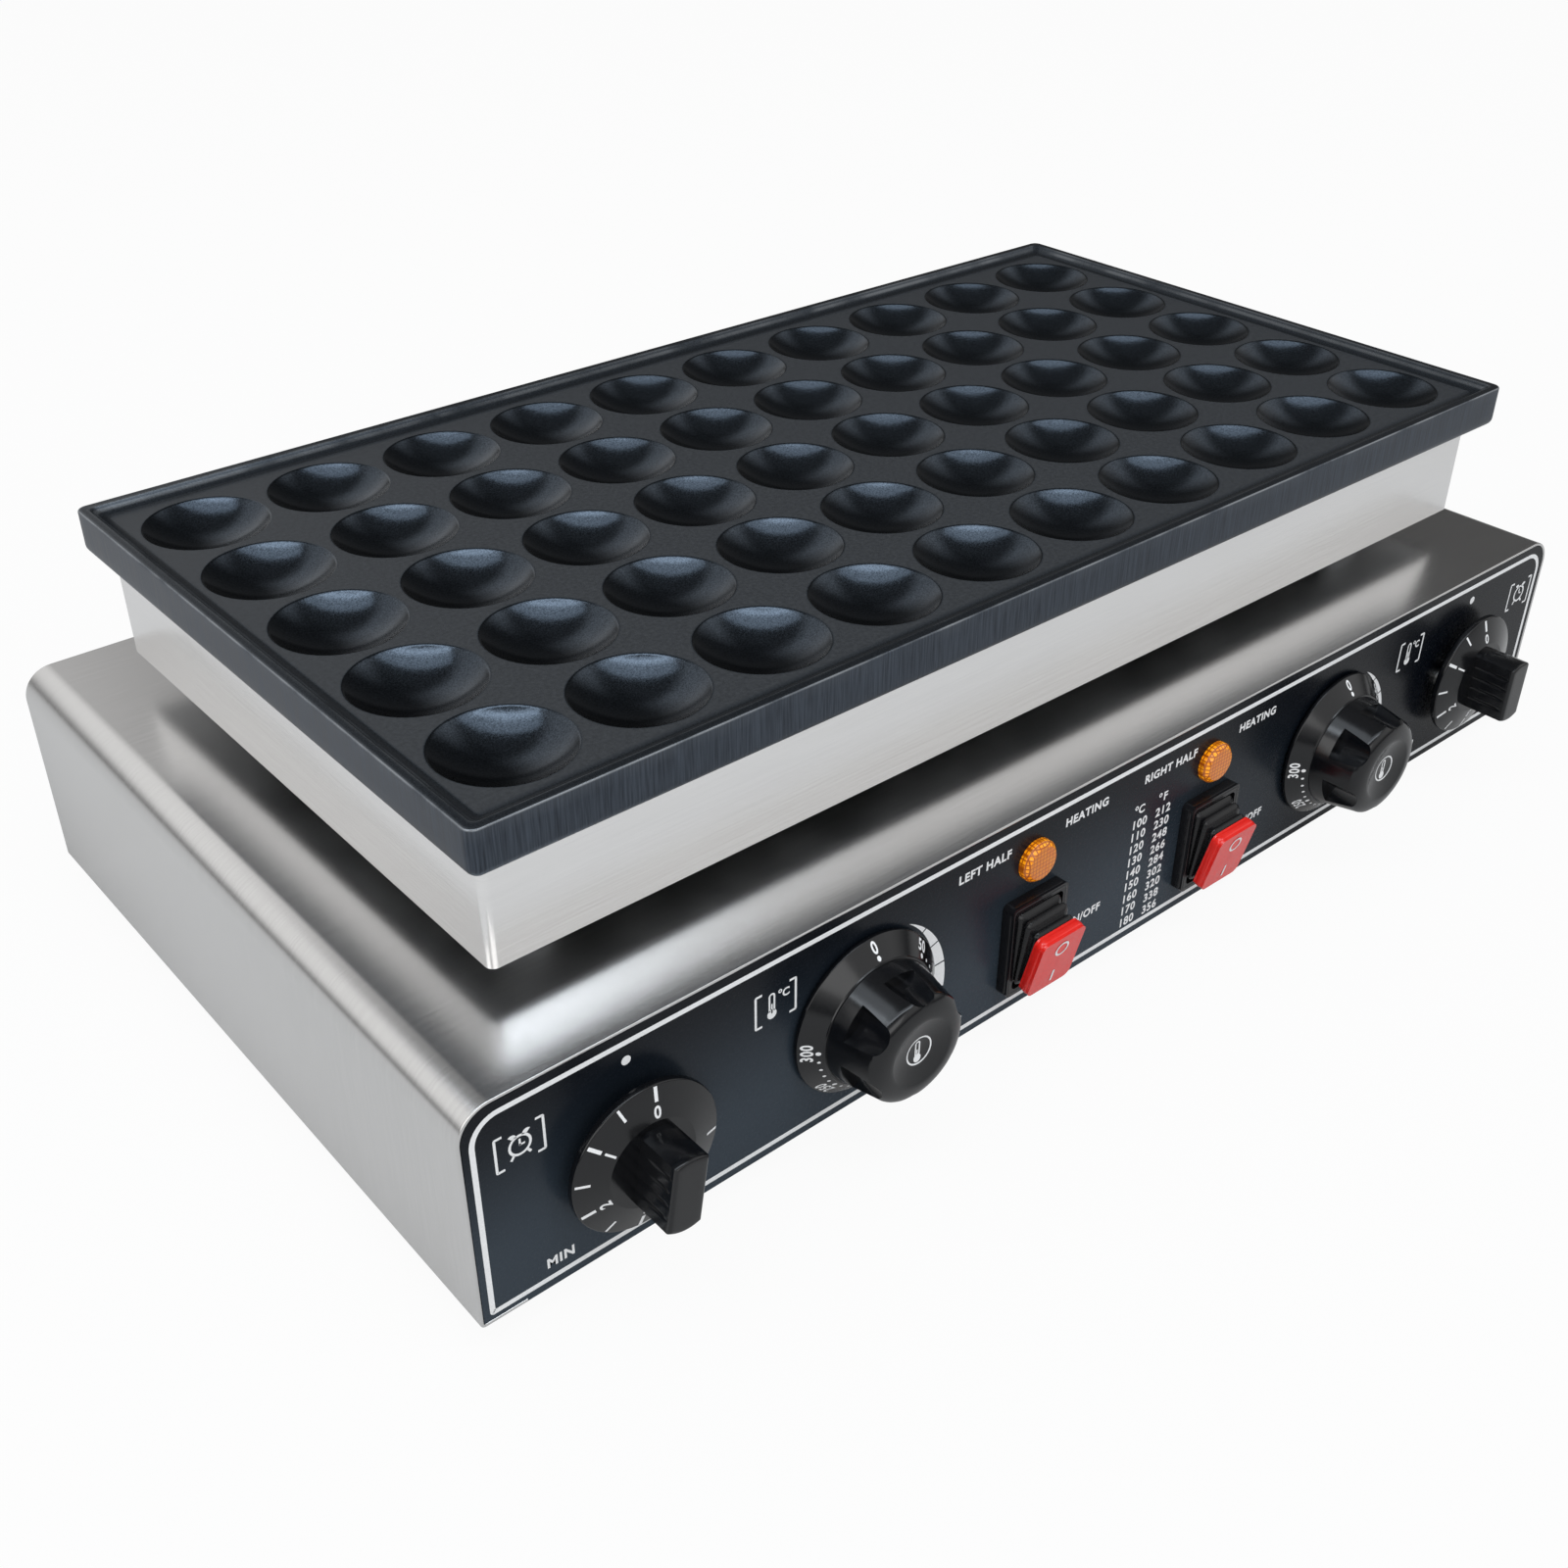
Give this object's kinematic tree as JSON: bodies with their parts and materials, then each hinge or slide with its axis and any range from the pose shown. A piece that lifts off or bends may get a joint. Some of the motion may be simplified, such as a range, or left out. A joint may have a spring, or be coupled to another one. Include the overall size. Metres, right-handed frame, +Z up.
{
  "type": "mini pancake maker",
  "caption": "Countertop mini pancake maker: a cast plate of round shallow cups on a heated steel head above a wider steel base with timer knobs, thermostat knobs, rocker switches and lamps.",
  "frame": {"origin": "on the surface that the feet stand on, under the middle of the base", "axes": "+X to the right along the front, +Y to the back away from the controls, +Z up"},
  "size_m": [0.564, 0.3744, 0.1657],
  "materials": {
    "coated_casting": "cast aluminium with a dark satin non-stick coating",
    "brushed_sheet": "stainless sheet, brushed along its length",
    "zinc_sheet": "zinc-plated sheet, dull",
    "mineral_wool": "pressed mineral wool",
    "element_steel": "heat-darkened steel sheath",
    "porcelain": "unglazed porcelain",
    "fastener_steel": "zinc-plated steel",
    "printed_film": "satin black film with white print",
    "black_rubber": "matt black rubber",
    "moulded_body": "pale moulded resin",
    "knob_plastic": "satin black moulding",
    "copper_tube": "bright copper",
    "red_plastic": "glossy red moulding",
    "amber_lens": "clear amber moulding",
    "brass_stud": "turned brass",
    "wire_sleeve": "woven glass sleeve"
  },
  "bodies": {
    "housing": {"cooking_plate": "coated_casting", "head_casing": "brushed_sheet", "base_casing": "brushed_sheet", "rear_panel": "brushed_sheet", "head_floor": "zinc_sheet", "reflector": "zinc_sheet", "front_panel": "zinc_sheet", "base_plate": "zinc_sheet", "clamp_bars": "zinc_sheet", "insulation_slab": "mineral_wool", "heating_element_left": "element_steel", "heating_element_right": "element_steel", "element_beads": "porcelain", "wire_bushes": "porcelain", "clamp_studs": "fastener_steel", "clamp_nuts": "fastener_steel", "tie_studs": "fastener_steel", "tie_nuts": "fastener_steel", "spacers": "fastener_steel", "base_screws": "fastener_steel", "foot_screws": "fastener_steel", "foot_nuts": "fastener_steel", "control_screws": "fastener_steel", "lamp_nuts": "fastener_steel", "panel_film": "printed_film", "feet": "black_rubber", "gland_seal": "black_rubber", "switch_boot_left": "black_rubber", "switch_boot_right": "black_rubber", "timer_body_left": "moulded_body", "timer_body_right": "moulded_body", "thermostat_body_left": "moulded_body", "thermostat_body_right": "moulded_body", "lamp_bodies": "moulded_body", "terminal_block": "moulded_body", "thermostat_bulb_left": "copper_tube", "thermostat_bulb_right": "copper_tube", "switch_housing_left": "knob_plastic", "switch_housing_right": "knob_plastic", "lamp_lens_left": "amber_lens", "lamp_lens_right": "amber_lens", "earth_stud": "brass_stud", "cable_gland": "knob_plastic", "gland_cap": "knob_plastic", "gland_nut": "knob_plastic", "wiring": "wire_sleeve"},
    "timer_dial_left": {"timer_knob_left": "knob_plastic", "timer_spring_left": "fastener_steel", "timer_shaft_left": "fastener_steel"},
    "thermostat_dial_left": {"thermostat_knob_left": "knob_plastic", "thermostat_spring_left": "fastener_steel", "thermostat_shaft_left": "fastener_steel"},
    "rocker_left": {"switch_rocker_left": "red_plastic"},
    "timer_dial_right": {"timer_knob_right": "knob_plastic", "timer_spring_right": "fastener_steel", "timer_shaft_right": "fastener_steel"},
    "thermostat_dial_right": {"thermostat_knob_right": "knob_plastic", "thermostat_spring_right": "fastener_steel", "thermostat_shaft_right": "fastener_steel"},
    "rocker_right": {"switch_rocker_right": "red_plastic"}
  },
  "joints": [
    {"name": "timer_turn_left", "type": "hinge", "parent": "housing", "child": "timer_dial_left", "pos_m": [-0.2245, -0.1577, 0.0507], "axis": [0, 1, 0], "range_deg": [0, 300]},
    {"name": "thermostat_turn_left", "type": "hinge", "parent": "housing", "child": "thermostat_dial_left", "pos_m": [-0.1295, -0.1577, 0.0507], "axis": [0, -1, 0], "range_deg": [0, 270]},
    {"name": "rocker_tip_left", "type": "hinge", "parent": "housing", "child": "rocker_left", "pos_m": [-0.049, -0.1567, 0.0412], "axis": [-1, 0, 0], "range_deg": [0, 26], "deforming": ["switch_boot_left"]},
    {"name": "timer_turn_right", "type": "hinge", "parent": "housing", "child": "timer_dial_right", "pos_m": [0.2245, -0.1577, 0.0507], "axis": [0, 1, 0], "range_deg": [0, 300]},
    {"name": "thermostat_turn_right", "type": "hinge", "parent": "housing", "child": "thermostat_dial_right", "pos_m": [0.1295, -0.1577, 0.0507], "axis": [0, -1, 0], "range_deg": [0, 270]},
    {"name": "rocker_tip_right", "type": "hinge", "parent": "housing", "child": "rocker_right", "pos_m": [0.049, -0.1567, 0.0412], "axis": [-1, 0, 0], "range_deg": [0, 26], "deforming": ["switch_boot_right"]}
  ]
}
